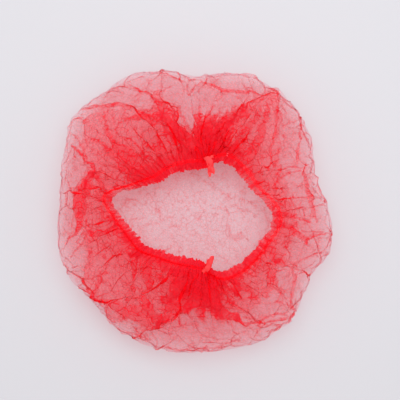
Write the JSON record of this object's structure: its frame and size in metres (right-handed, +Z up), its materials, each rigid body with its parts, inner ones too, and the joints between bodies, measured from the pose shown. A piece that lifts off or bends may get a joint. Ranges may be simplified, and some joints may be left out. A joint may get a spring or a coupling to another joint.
{
  "type": "disposable pleated hair cover cap",
  "caption": "Puffed thin non-woven cap, crown down, with gathered folds round an elasticated open mouth and a welded pleat end at front and back.",
  "frame": {"origin": "middle of the crown's underside, on the surface that the cap lies on", "axes": "+Z up out of the mouth, +Y towards the back weld, +X to the right"},
  "size_m": [0.294, 0.3056, 0.0669],
  "materials": {
    "fabric": "matte translucent spunbond non-woven",
    "elastic": "matte covered elastic thread",
    "weld": "fused non-woven, slightly glossy"
  },
  "bodies": {
    "root": {"cap_sheet": "fabric", "elastic_left": "elastic", "elastic_right": "elastic", "weld_back": "weld", "weld_front": "weld"}
  },
  "joints": []
}
